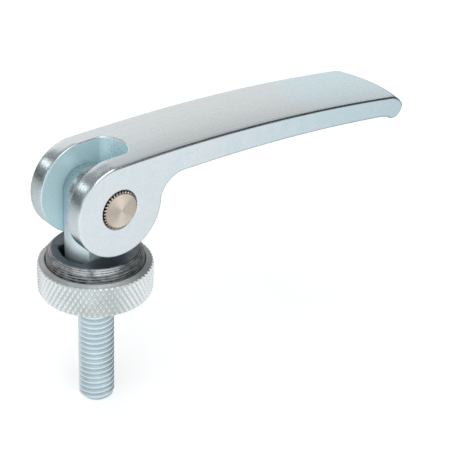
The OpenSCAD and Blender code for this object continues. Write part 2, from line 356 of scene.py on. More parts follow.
def put(tree, kind, links=None, **settings):
    """Adds a shader node. Settings are its own; links give its sockets a value, a socket or a node's first output."""
    made = tree.nodes.new("ShaderNode" + kind)
    for key, value in settings.items():
        setattr(made, key, value)
    for key, value in (links or {}).items():
        if isinstance(value, bpy.types.Node):
            value = next(socket for socket in value.outputs if socket.enabled)
        if isinstance(value, bpy.types.NodeSocket):
            tree.links.new(value, made.inputs[key])
        else:
            made.inputs[key].default_value = value
    return made


def new_finish(name):
    """An empty material, its node tree and its object coordinates."""
    material = bpy.data.materials.new(name)
    material.use_nodes = True
    tree = material.node_tree
    tree.nodes.clear()
    return material, tree, put(tree, "TexCoord").outputs["Object"]


def forged_zinc():
    """Blue passivated zinc: matt on the blasted sides, ground smooth along the top, a blue film in the slot painted
    paler as a stand-in for light in it.
    """
    colours = bpy.context.scene.cam_lever_finishes
    sizes = bpy.context.scene.lever_sizes
    material, tree, place = new_finish("zinc_plate_on_forging")
    split = put(tree, "SeparateXYZ", {"Vector": place})
    facing = put(tree, "SeparateXYZ", {"Vector": put(tree, "TexCoord").outputs["Normal"]})
    # 1 on the lever's flat sides, 0 on its top and rims
    turned = put(tree, "Math", {0: facing.outputs["Y"]}, operation="ABSOLUTE")
    flank = put(tree, "MapRange", {"Value": turned, "From Min": 0.6, "From Max": 0.95})
    # 1 inside the slot, which is bounded by its width and its end
    middle = put(tree, "Math", {0: split.outputs["Y"]}, operation="ABSOLUTE")
    between = put(tree, "Math", {0: middle, 1: sizes.slot_width / 2 + 0.0001}, operation="LESS_THAN")
    before = put(tree, "Math", {0: split.outputs["X"], 1: sizes.slot_end + 0.0003}, operation="LESS_THAN")
    upright = put(tree, "Math", {0: facing.outputs["Z"], 1: 0.4}, operation="LESS_THAN")
    inside = put(tree, "Math", {0: between, 1: before}, operation="MULTIPLY")
    slot = put(tree, "Math", {0: inside, 1: upright}, operation="MULTIPLY")
    # film clouds about 14 mm across, thin on the arm's middle and bluer towards the ears and the tip
    cloud = put(tree, "TexNoise", {"Vector": place, "Scale": 70.0, "Detail": 3.0, "Roughness": 0.55})
    shift = put(tree, "Math", {0: split.outputs["X"], 1: 0.021}, operation="SUBTRACT")
    away = put(tree, "Math", {0: shift}, operation="ABSOLUTE")
    along = put(
        tree, "MapRange", {"Value": away, "From Min": 0.006, "From Max": 0.034, "To Min": -0.14, "To Max": 0.2}
    )
    thick = put(tree, "Math", {0: cloud, 1: along}, operation="ADD")
    tint = put(tree, "ValToRGB", {"Fac": thick})
    ramp = tint.color_ramp
    ramp.elements[0].position, ramp.elements[0].color = 0.34, linear(colours.zinc_warm)
    ramp.elements[1].position, ramp.elements[1].color = 0.74, linear(colours.zinc_cool)
    ramp.elements.new(0.5).color = linear(colours.zinc)
    # the sides go from pale at the ears to blue at the tip, in mottles about 2 mm across
    mottle = put(tree, "TexNoise", {"Vector": place, "Scale": 500.0, "Detail": 4.0, "Roughness": 0.6})
    fade = put(tree, "MapRange", {"Value": split.outputs["X"], "From Min": 0.008, "From Max": 0.05})
    patch = put(tree, "MapRange", {"Value": mottle, "From Min": 0.3, "From Max": 0.7, "To Min": -0.35, "To Max": 0.35})
    blue = put(tree, "Math", {0: fade, 1: patch}, operation="ADD", use_clamp=True)
    pale = put(
        tree, "Mix", {"Factor": blue, "A": linear(colours.zinc_side), "B": linear(colours.zinc_tip)}, data_type="RGBA"
    )
    sided = put(tree, "Mix", {"Factor": flank, "A": tint, "B": pale}, data_type="RGBA")
    # painted light: the slot's walls take a paler blue and less metal, standing in for the light inside the slot
    film = put(tree, "Mix", {"Factor": slot, "A": sided, "B": linear(colours.zinc_slot_painted_light)}, data_type="RGBA")
    # grinding lines along the arm, about 0.3 mm apart and 15 mm long
    lines = put(tree, "Mapping", {"Vector": place, "Scale": (65.0, 3300.0, 3300.0)})
    streak = put(tree, "TexNoise", {"Vector": lines, "Scale": 1.0, "Detail": 3.0})
    # blasted grain, about 0.25 mm
    grain = put(tree, "TexNoise", {"Vector": place, "Scale": 4000.0, "Detail": 2.0, "Roughness": 0.6})
    blasted = put(tree, "Math", {0: flank, 1: slot}, operation="MAXIMUM")
    marks = put(tree, "Mix", {"Factor": blasted, "A": streak, "B": grain})
    speck = put(tree, "MapRange", {"Value": marks, "From Min": 0.3, "From Max": 0.7, "To Min": 0.92, "To Max": 1.05})
    shade = put(tree, "Mix", {"Factor": 1.0, "A": film, "B": speck}, data_type="RGBA", blend_type="MULTIPLY")
    satin = put(tree, "MapRange", {"Value": marks, "From Min": 0.3, "From Max": 0.7, "To Min": 0.25, "To Max": 0.31})
    matt = put(tree, "Math", {0: flank, 1: 0.12}, operation="MULTIPLY")
    gloss = put(tree, "Math", {0: satin, 1: matt}, operation="ADD")
    metal = put(tree, "MapRange", {"Value": slot, "To Min": 1.0, "To Max": 0.3})
    raised = put(tree, "MapRange", {"Value": flank, "To Min": 0.06, "To Max": 0.3})
    bump = put(tree, "Bump", {"Strength": raised, "Distance": 0.00002, "Height": marks})
    look = {"Base Color": shade, "Metallic": metal, "Roughness": gloss, "Normal": bump}
    put(tree, "OutputMaterial", {"Surface": put(tree, "BsdfPrincipled", look)})
    return material


def rolled_zinc(name, code, rough, crest, root, change_height, blend, spread, film):
    """Zinc on a machined piece: bright on the crests, with painted shade in the thread or knurl roots and above a set
    height.
    """
    material, tree, place = new_finish(name)
    split = put(tree, "SeparateXYZ", {"Vector": place})
    level = put(tree, "CombineXYZ", {"X": split.outputs["X"], "Y": split.outputs["Y"]})
    radius = put(tree, "VectorMath", {0: level}, operation="LENGTH")
    depth = put(tree, "MapRange", {"Value": radius, "From Min": root, "From Max": crest})
    deep = put(tree, "Math", {0: radius, 1: root - 0.0001}, operation="LESS_THAN")
    raised = put(tree, "Math", {0: depth, 1: deep}, operation="MAXIMUM")
    # plating cloud about 4 mm across
    cloud = put(tree, "TexNoise", {"Vector": place, "Scale": 250.0, "Detail": 3.0})
    patch = put(tree, "MapRange", {"Value": cloud, "From Min": 0.3, "From Max": 0.7, "To Min": 0.88, "To Max": 1.0})
    # painted shade: the colour darkens from the crests towards the thread and knurl roots, down to 0.85
    shadow = put(tree, "MapRange", {"Value": raised, "From Max": 0.6, "To Min": 0.85, "To Max": 1.0})
    both = put(tree, "Math", {0: patch, 1: shadow}, operation="MULTIPLY")
    # painted shade: the colour darkens to 0.62 above the given height, on the bolt's head between the ears and on the
    # nut's top chamfer
    painted_upper_shade = put(
        tree,
        "MapRange",
        {
            "Value": split.outputs["Z"],
            "From Min": change_height,
            "From Max": change_height + blend,
            "To Min": 1.0,
            "To Max": 0.62,
        },
    )
    tone = put(tree, "Math", {0: both, 1: painted_upper_shade}, operation="MULTIPLY")
    shade = put(tree, "Mix", {"Factor": 1.0, "A": linear(code), "B": tone}, data_type="RGBA", blend_type="MULTIPLY")
    # plating grain, about 0.3 mm
    grain = put(tree, "TexNoise", {"Vector": place, "Scale": 3300.0, "Detail": 2.0})
    gloss = put(
        tree,
        "MapRange",
        {
            "Value": grain,
            "From Min": 0.3,
            "From Max": 0.7,
            "To Min": rough - 0.06,
            "To Max": rough + 0.08,
        },
    )
    # the bare turned face scatters more or less than the rolled one
    turned = put(
        tree,
        "MapRange",
        {"Value": split.outputs["Z"], "From Min": change_height, "From Max": change_height + blend, "To Max": spread},
    )
    satin = put(tree, "Math", {0: gloss, 1: turned}, operation="ADD")
    bump = put(tree, "Bump", {"Strength": 0.1, "Distance": 0.00002, "Height": grain})
    # a thin passive film takes some of the mirror away on the rolled part, which looks soft and pale
    metal = put(
        tree,
        "MapRange",
        {"Value": split.outputs["Z"], "From Min": change_height, "From Max": change_height + blend, "To Min": 1.0 - film},
    )
    look = {"Base Color": shade, "Metallic": metal, "Roughness": satin, "Normal": bump}
    put(tree, "OutputMaterial", {"Surface": put(tree, "BsdfPrincipled", look)})
    return material


def blackened_steel():
    """Oil-blackened turned steel: dark and satin, worn to grey metal on the chamfer and the thread."""
    colours = bpy.context.scene.cam_lever_finishes
    sizes = bpy.context.scene.plate_sizes
    material, tree, place = new_finish("blackened_turned_steel")
    split = put(tree, "SeparateXYZ", {"Vector": place})
    flat = put(tree, "CombineXYZ", {"X": split.outputs["X"], "Y": split.outputs["Y"]})
    radius = put(tree, "VectorMath", {0: flat}, operation="LENGTH")
    edge = put(
        tree,
        "MapRange",
        {
            "Value": radius,
            "From Min": sizes.diameter / 2 - sizes.chamfer - 0.0001,
            "From Max": sizes.diameter / 2 - sizes.chamfer + 0.0002,
        },
    )
    # smears of wear, about 1 mm long round the plate
    wear = put(tree, "TexNoise", {"Vector": place, "Scale": 900.0, "Detail": 4.0, "Roughness": 0.65})
    rub = put(tree, "MapRange", {"Value": wear, "From Min": 0.3, "From Max": 0.62})
    amount = put(tree, "Math", {0: edge, 1: rub}, operation="MULTIPLY")
    shade = put(
        tree, "Mix", {"Factor": amount, "A": linear(colours.black), "B": linear(colours.black_worn)}, data_type="RGBA"
    )
    gloss = put(tree, "MapRange", {"Value": wear, "From Min": 0.3, "From Max": 0.7, "To Min": 0.3, "To Max": 0.5})
    # turning lines on the chamfer, 0.25 mm apart and a little uneven
    wander = put(tree, "Math", {0: wear, 1: 2.5}, operation="MULTIPLY")
    turns = put(tree, "Math", {0: split.outputs["Z"], 1: math.tau / 0.00025}, operation="MULTIPLY")
    phase = put(tree, "Math", {0: turns, 1: wander}, operation="ADD")
    line = put(tree, "Math", {0: phase}, operation="SINE")
    worked = put(tree, "Math", {0: line, 1: edge}, operation="MULTIPLY")
    height = put(tree, "Math", {0: worked, 1: wear}, operation="ADD")
    bump = put(tree, "Bump", {"Strength": 0.5, "Distance": 0.00003, "Height": height})
    scored = put(tree, "MapRange", {"Value": worked, "From Min": -1.0, "To Min": 0.5, "To Max": 1.25})
    lined = put(tree, "Mix", {"Factor": 1.0, "A": shade, "B": scored}, data_type="RGBA", blend_type="MULTIPLY")
    look = {"Base Color": lined, "Metallic": 1.0, "Roughness": gloss, "Normal": bump}
    put(tree, "OutputMaterial", {"Surface": put(tree, "BsdfPrincipled", look)})
    return material


def turned_steel():
    """Face-turned pin steel: warm grey, with fine rings that spread the light, and a painted highlight of two paler
    fans.
    """
    colours = bpy.context.scene.cam_lever_finishes
    sizes = bpy.context.scene.lever_sizes
    material, tree, place = new_finish("face_turned_pin_steel")
    centred = put(tree, "Mapping", {"Vector": place, "Location": (0, 0, -sizes.pin_height)})
    split = put(tree, "SeparateXYZ", {"Vector": centred})
    flat = put(tree, "CombineXYZ", {"X": split.outputs["X"], "Z": split.outputs["Z"]})
    radius = put(tree, "VectorMath", {0: flat}, operation="LENGTH")
    # tool marks 0.12 mm apart, drawn as coarse as they need to show
    turns = put(tree, "Math", {0: radius, 1: math.tau / 0.00012}, operation="MULTIPLY")
    ring = put(tree, "Math", {0: turns}, operation="SINE")
    tarnish = put(tree, "TexNoise", {"Vector": place, "Scale": 600.0, "Detail": 2.0})
    shade = put(tree, "ValToRGB", {"Fac": tarnish})
    base = linear(colours.pin)
    shade.color_ramp.elements[0].position = 0.3
    shade.color_ramp.elements[0].color = tuple(c * 0.85 for c in base[:3]) + (1.0,)
    shade.color_ramp.elements[1].position = 0.7
    shade.color_ramp.elements[1].color = base
    # painted highlight: two paler fans across the face, where the turned rings would catch the light
    round_face = put(tree, "Math", {0: split.outputs["X"], 1: split.outputs["Z"]}, operation="ARCTAN2")
    twice = put(tree, "Math", {0: round_face, 1: 2.0}, operation="MULTIPLY")
    wave = put(tree, "Math", {0: twice}, operation="COSINE")
    painted_fan_highlight = put(tree, "MapRange", {"Value": wave, "From Min": -0.4, "To Min": 0.74, "To Max": 1.06})
    fan_highlighted = put(tree, "Mix", {"Factor": 1.0, "A": shade, "B": painted_fan_highlight}, data_type="RGBA", blend_type="MULTIPLY")
    bump = put(tree, "Bump", {"Strength": 0.25, "Distance": 0.00001, "Height": ring})
    tangent = put(tree, "Tangent", direction_type="RADIAL", axis="Y")
    look = {"Base Color": fan_highlighted, "Metallic": 1.0, "Roughness": 0.32, "Anisotropic": 0.7}
    shader = put(tree, "BsdfPrincipled", {**look, "Tangent": tangent, "Normal": bump})
    put(tree, "OutputMaterial", {"Surface": shader})
    return material


def meet(centre_a, radius_a, centre_b, radius_b, right):
    """Where two circles of the side view cross: the crossing further right, or the one further left."""
    gap = (centre_b - centre_a).length
    along = (gap * gap + radius_a * radius_a - radius_b * radius_b) / (2 * gap)
    off = math.sqrt(radius_a * radius_a - along * along)
    way = (centre_b - centre_a).normalized()
    across = Vector((-way.z, 0, way.x)) * off
    found = sorted((centre_a + way * along + across, centre_a + way * along - across), key=lambda p: p.x)
    return found[1] if right else found[0]


def turn_between(centre, start, end, backwards=False):
    """Angle from start to end round centre in the side view, anticlockwise unless backwards."""
    first = math.atan2(start.z - centre.z, start.x - centre.x)
    last = math.atan2(end.z - centre.z, end.x - centre.x)
    turn = (last - first) % math.tau
    return turn - math.tau if backwards else turn


class CAMLEVER_OT_lever(bpy.types.Operator):
    """Models the forged lever: eccentric ears, neck, crowned arm, tip bead, fork slot and pin hole"""

    bl_idname = "camlever.lever"
    bl_label = "Forged lever"

    def execute(self, context):
        s = context.scene.lever_sizes
        pin_z = mm(s.pin_height)
        half_boss = mm(s.boss_width) / 2
        side = Vector((0, -half_boss, 0))
        cam = side + Vector((mm(s.cam_right), 0, pin_z - mm(s.cam_down)))
        top = side + Vector((mm(s.top_summit), 0, pin_z + mm(s.arm_top) - mm(s.top_radius)))
        under_z = pin_z + mm(s.arm_top) - mm(s.thickness)
        neck = side + Vector((mm(s.neck_at), 0, under_z - mm(s.neck_radius)))
        under = side + Vector((mm(s.neck_at), 0, under_z - mm(s.under_radius)))

        def on_top(x):
            return side + Vector((x, 0, top.z + math.sqrt(mm(s.top_radius) ** 2 - (x - top.x) ** 2)))

        roll_from = on_top(mm(s.reach) - mm(s.roll_length))
        roll = top + (roll_from - top) * (1 - mm(s.roll) / mm(s.top_radius))
        nose_z = roll.z + math.sqrt(mm(s.roll) ** 2 - (mm(s.reach) - roll.x) ** 2)
        nose = side + Vector((mm(s.reach), 0, nose_z))
        bead = nose - Vector((mm(s.bead), 0, 0))
        back = meet(cam, mm(s.cam_radius), top, mm(s.top_radius), right=False)
        throat = meet(cam, mm(s.cam_radius), neck, mm(s.neck_radius), right=True)
        arm = side + Vector((mm(s.neck_at), 0, under_z))
        hook = meet(under, mm(s.under_radius), bead, mm(s.bead), right=False)
        # one clear step over the slot's arched end keeps its rounding clean
        slot_far, slot_near = on_top(mm(s.slot_end) + 1.0), on_top(2.7)

        lever = outline_from("forged_lever", back)
        arc(cam, turn_between(cam, back, throat), 110)
        arc(neck, turn_between(neck, throat, arm, backwards=True), 24)
        arc(under, turn_between(under, arm, hook, backwards=True), 36)
        arc(bead, turn_between(bead, hook, nose), 24)
        arc(roll, turn_between(roll, nose, roll_from), 14)
        arc(top, turn_between(top, roll_from, slot_far), 44)
        arc(top, turn_between(top, slot_far, slot_near), 1)
        arc(top, turn_between(top, slot_near, back), 6)
        bpy.ops.mesh.select_all(action="SELECT")
        bpy.ops.mesh.remove_doubles(threshold=0.001)
        bpy.ops.mesh.edge_face_add()
        rows = 12
        for _ in range(rows):
            bpy.ops.mesh.extrude_region_move(TRANSFORM_OT_translate={"value": (0, 2 * half_boss / rows, 0)})
        bpy.ops.mesh.select_all(action="SELECT")
        bpy.ops.mesh.bisect(plane_co=(mm(s.widen_from), 0, 0), plane_no=(1, 0, 0), threshold=0.00001)
        close_solid()

        def half_width(x):
            share = (x - mm(s.widen_from)) / (mm(s.reach) - mm(s.widen_from))
            return half_boss + max(0.0, share) * (mm(s.tip_width) - mm(s.boss_width)) / 2

        bow_from = mm(s.reach) - 14.0
        for point in lever.data.vertices:
            place = point.co
            place.y *= half_width(place.x) / half_boss
            from_top = (Vector((place.x, side.y, place.z)) - top).length - mm(s.top_radius)
            from_bead = (Vector((place.x, side.y, place.z)) - bead).length - mm(s.bead)
            at_nose = place.x > roll_from.x + 0.01 or from_bead < 0.01
            rise = min(1.0, max(0.0, 1.0 + from_top / 2.0)) if place.x < mm(s.slot_end) else float(from_top > -0.2)
            crown_drop = rise * rise * (3 - 2 * rise) * place.y * place.y / (2 * mm(s.crown))
            # the end is bowed: towards the sides it steps back along the arm's curve
            share = min(1.0, max(0.0, (place.x - bow_from) / (hook.x - bow_from)))
            step = share * share * (3 - 2 * share) * (mm(s.bow) - math.sqrt(mm(s.bow) ** 2 - place.y ** 2))
            if not at_nose:
                place.z += step * (place.x - top.x) / mm(s.top_radius) - crown_drop
            place.x -= step

        arch_x = mm(s.slot_end) - mm(s.slot_arch)
        half_slot = mm(s.slot_width) / 2
        swing = math.asin(half_slot / mm(s.slot_arch))
        corner_x = arch_x + mm(s.slot_arch) * math.cos(swing)
        slot = outline_from("slot_cutter", (-20, -half_slot, 0))
        bpy.ops.mesh.extrude_vertices_move(TRANSFORM_OT_translate={"value": (corner_x + 20, 0, 0)})
        arc((arch_x, 0, 0), 2 * swing, 24, UP)
        bpy.ops.mesh.extrude_vertices_move(TRANSFORM_OT_translate={"value": (-corner_x - 20, 0, 0)})
        bpy.ops.mesh.select_all(action="SELECT")
        bpy.ops.mesh.edge_face_add()
        bpy.ops.mesh.extrude_region_move(TRANSFORM_OT_translate={"value": (0, 0, 40)})
        close_solid()
        cut(lever, slot)
        bpy.ops.mesh.primitive_cylinder_add(
            vertices=96, radius=mm(context.scene.pin_sizes.diameter) / 2, depth=40, location=(0, 0, pin_z),
            rotation=(math.pi / 2, 0, 0),
        )
        cut(lever, context.object)

        def radius_of(edge):
            middle = (edge.verts[0].co + edge.verts[1].co) / 2
            from_pin = math.hypot(middle.x, middle.z - pin_z)
            if abs(abs(middle.y) - half_width(middle.x)) < 0.05:
                return mm(s.hole_bevel) if from_pin < mm(s.cam_radius) / 2 else mm(s.edge_round)
            in_slot = abs(middle.y) < half_slot + 0.02 and middle.x < mm(s.slot_end) + 0.05
            rim = from_pin > mm(s.cam_radius) - 1.2 or middle.z > pin_z + mm(s.arm_top) - 0.8
            below_arch = middle.x > corner_x - 0.05 and middle.z < pin_z
            along_wall = abs(edge.verts[0].co.z - edge.verts[1].co.z) > 4
            return mm(s.slot_round) if in_slot and rim and not below_arch and not along_wall else 0.0

        round_edges(lever, radius_of, 4)
        finish_piece(lever, "lever", "lever", forged_zinc(), smooth=32)
        return {"FINISHED"}


class CAMLEVER_OT_pin(bpy.types.Operator):
    """Models the pivot pin: straight knurl, chamfered ends and turned faces"""

    bl_idname = "camlever.pin"
    bl_label = "Knurled pin"

    def execute(self, context):
        s = context.scene.pin_sizes
        pin_z = mm(context.scene.lever_sizes.pin_height)
        tip, half = mm(s.diameter) / 2, mm(s.length) / 2
        root = tip - mm(s.tooth_depth)
        bpy.ops.object.select_all(action="DESELECT")
        bpy.ops.mesh.primitive_circle_add(
            vertices=4 * s.teeth, radius=tip, fill_type="NOTHING", location=(0, 0.3 - half, pin_z),
            rotation=(math.pi / 2, 0, 0),
        )
        pin = context.object
        pin.name = "knurled_pin"
        bpy.ops.object.transform_apply(location=True, rotation=True, scale=True)
        bpy.ops.object.mode_set(mode="EDIT")
        order = [v.index for v in bmesh.from_edit_mesh(pin.data).verts]
        pick("VERT", lambda v: order.index(v.index) % 4 in (2, 3))
        bpy.ops.transform.resize(value=(root / tip, 1, root / tip))
        bpy.ops.mesh.select_all(action="SELECT")
        bpy.ops.mesh.edge_face_add()
        bpy.ops.mesh.extrude_region_move(TRANSFORM_OT_translate={"value": (0, 2 * half - 0.6, 0)})
        for way in (-1, 1):
            pick("FACE", lambda f: len(f.verts) > 8 and way * f.calc_center_median().y > 0)
            bpy.ops.mesh.extrude_region_move(TRANSFORM_OT_translate={"value": (0, way * 0.2, 0)})
            bpy.ops.mesh.select_mode(type="VERT")
            shape = bmesh.from_edit_mesh(pin.data)
            crests = {
                v.index for v in shape.verts if v.select and math.hypot(v.co.x, v.co.z - pin_z) > (tip + root) / 2
            }
            pick("VERT", lambda v: v.index in crests)
            bpy.ops.transform.resize(value=(root / tip, 1, root / tip))
            pick("FACE", lambda f: len(f.verts) > 8 and way * f.calc_center_median().y > half - 0.2)
            bpy.ops.mesh.extrude_region_move(TRANSFORM_OT_translate={"value": (0, way * 0.1, 0)})
            bpy.ops.transform.resize(value=((root - 0.1) / root, 1, (root - 0.1) / root))
            bpy.ops.mesh.inset(thickness=0.12, depth=0)
            bpy.ops.mesh.inset(thickness=1.2, depth=-0.012)
            bpy.ops.mesh.inset(thickness=1.2, depth=-0.018)
        close_solid()
        finish_piece(pin, "pivot_pin", "lever", turned_steel(), smooth=25)
        return {"FINISHED"}


class CAMLEVER_OT_bolt(bpy.types.Operator):
    """Models the eye bolt: domed head with two flats and a cross bore, and a real stud thread"""

    bl_idname = "camlever.bolt"
    bl_label = "Eye bolt"

    def execute(self, context):
        s = context.scene.bolt_sizes
        pin_z = mm(context.scene.lever_sizes.pin_height)
        # a hair smaller than the solid, so that it clears the arched end of the fork's slot
        clear = 0.03
        head_r, flat_y = mm(s.head_diameter) / 2 - clear, mm(s.flats) / 2 - clear
        stud_r, end = mm(s.stud_diameter) / 2, -mm(s.stud_end)
        start = mm(s.head_from)
        bolt = outline_from("eye_bolt_head", (0, 0, pin_z + head_r))
        arc((0, 0, pin_z), -math.pi / 2, 20)
        line((head_r, start + 0.4), (head_r - 0.4, start), (2.4, start), (2.4, 0.5), (0, 0.5))
        lathe(128)
        bpy.ops.object.mode_set(mode="EDIT")
        for way in (-1, 1):
            trim((0, way * flat_y, 0), (0, way, 0))
        close_solid()
        bpy.ops.mesh.primitive_cylinder_add(
            vertices=96, radius=mm(s.eye), depth=20, location=(0, 0, pin_z), rotation=(math.pi / 2, 0, 0)
        )
        cut(bolt, context.object)
        round_edges(bolt, lambda e: mm(s.flat_round) if all(v.co.z > start + 0.6 for v in e.verts) else 0.0, 3)

        depth = 0.5 * mm(s.pitch)
        stud = threaded_bar("threaded_stud", stud_r, depth, mm(s.pitch), end, 1.0, 64)
        blank = outline_from("stud_blank", (0, 0, end))
        chamfer = mm(s.chamfer)
        line((stud_r - chamfer, end), (stud_r + 0.2, end + chamfer + 0.2), (stud_r + 0.2, -0.2), (2.2, 0.8), (0, 0.8))
        lathe(96)
        cut(stud, blank, "INTERSECT")
        select_only(stud)
        bolt.select_set(True)
        context.view_layer.objects.active = bolt
        bpy.ops.object.join()
        bolt.name = "threaded_eye_bolt"
        colours = context.scene.cam_lever_finishes
        crest = s.stud_diameter / 2
        root = crest - MM * depth
        # painted shade darkens the head, which also grows glossier, over 6 mm, from 11 mm up
        finish = rolled_zinc("zinc_plate_on_rolled_thread", colours.stud, 0.4, crest, root, 0.011, 0.006, -0.1, 0.25)
        finish_piece(bolt, "eye_bolt", "bolt", finish, smooth=35)
        return {"FINISHED"}


class CAMLEVER_OT_plate(bpy.types.Operator):
    """Models the contact plate: fine thread, wide chamfer and a bore with two flats"""

    bl_idname = "camlever.plate"
    bl_label = "Contact plate"

    def execute(self, context):
        s = context.scene.plate_sizes
        radius, low, high, chamfer = mm(s.diameter) / 2, mm(s.bottom), mm(s.top), mm(s.chamfer)
        plate = threaded_bar("threaded_contact_plate", radius, 0.6134 * mm(s.pitch), mm(s.pitch), low, high, 128)
        blank = outline_from("plate_blank", (0, 0, low))
        line(
            (radius - 0.4, low),
            (radius + 0.3, low + 0.7),
            (radius + 0.3, high - chamfer - 0.3),
            (radius - chamfer, high),
            (0, high),
        )
        lathe(128)
        cut(plate, blank, "INTERSECT")
        bpy.ops.mesh.primitive_cylinder_add(
            vertices=128, radius=mm(s.bore) / 2, depth=20, location=(0, 0, high), enter_editmode=True
        )
        for way in (-1, 1):
            trim((0, way * mm(s.flats) / 2, 0), (0, way, 0))
        close_solid()
        cut(plate, context.object)
        inner = radius - chamfer - 0.2
        round_edges(
            plate,
            lambda e: 0.12 if all(v.co.z > high - 0.01 and v.co.xy.length < inner for v in e.verts) else 0.0,
            2,
        )
        finish_piece(plate, "contact_plate", "plate", blackened_steel(), smooth=30)
        return {"FINISHED"}


class CAMLEVER_OT_nut(bpy.types.Operator):
    """Models the setting nut: raised diamond knurl, turned chamfers, bore and floor"""

    bl_idname = "camlever.nut"
    bl_label = "Setting nut"

    def execute(self, context):
        s = context.scene.nut_sizes
        # the crests stay just inside the facets of the solid
        radius, high, depth = mm(s.diameter) / 2 - 0.004, mm(s.height), mm(s.knurl_depth)
        width = math.tau * radius / s.diamonds
        # grooves at 30 degrees to the nut's axis
        tall = width / math.tan(math.radians(30))
        rows = math.ceil((high + 1.0) / tall)
        low = (high - rows * tall) / 2
        bpy.ops.object.select_all(action="DESELECT")
        bpy.ops.mesh.primitive_circle_add(
            vertices=s.diamonds, radius=radius - depth, fill_type="NOTHING", location=(0, 0, 0), enter_editmode=True
        )
        nut = context.object
        nut.name = "knurled_setting_nut"
        bpy.ops.transform.translate(value=(0, 0, low))
        for _ in range(rows):
            bpy.ops.mesh.extrude_region_move(TRANSFORM_OT_translate={"value": (0, 0, tall)})
        bpy.ops.mesh.select_all(action="SELECT")
        bpy.ops.mesh.normals_make_consistent(inside=False)
        corners = len(bmesh.from_edit_mesh(nut.data).verts)
        bpy.ops.mesh.poke()
        # the first squares' own edges go, so the four triangles round each become one diamond
        pick("EDGE", lambda e: all(v.index < corners for v in e.verts) and not e.is_boundary)
        bpy.ops.mesh.dissolve_edges(use_verts=False)
        bpy.ops.mesh.select_all(action="SELECT")
        inner = width * tall / 2 / math.hypot(width, tall)
        bpy.ops.mesh.inset(thickness=inner - mm(s.knurl_flat), depth=depth, use_individual=True, use_even_offset=True)
        for height in (low, low + rows * tall):
            pick("EDGE", lambda e: e.is_boundary and all(abs(v.co.z - height) < 0.01 for v in e.verts))
            bpy.ops.mesh.edge_face_add()
        close_solid()

        blank = outline_from("nut_blank", (mm(s.stud_hole) / 2, 0, 0))
        slope = mm(s.chamfer_height) / mm(s.chamfer_width)
        bore = mm(s.bore) / 2
        line(
            (radius - 0.3, 0),
            (radius + 0.3, 1.0),
            (radius + 0.3, high - slope * (mm(s.chamfer_width) + 0.3)),
            (radius - mm(s.chamfer_width), high),
            (bore + 0.25, high),
            (bore, high - 0.25),
            (bore, mm(s.floor)),
            (mm(s.stud_hole) / 2, mm(s.floor)),
            (mm(s.stud_hole) / 2, 0),
        )
        lathe(128)
        cut(nut, blank, "INTERSECT")
        colours = context.scene.cam_lever_finishes
        crest = s.diameter / 2
        rim = s.height - s.chamfer_height
        root = crest - s.knurl_depth
        finish = rolled_zinc("zinc_plate_on_knurl", colours.nut, 0.24, crest, root, rim, 0.0002, 0.26, 0.0)
        finish_piece(nut, "setting_nut", "nut", finish, smooth=20)
        return {"FINISHED"}


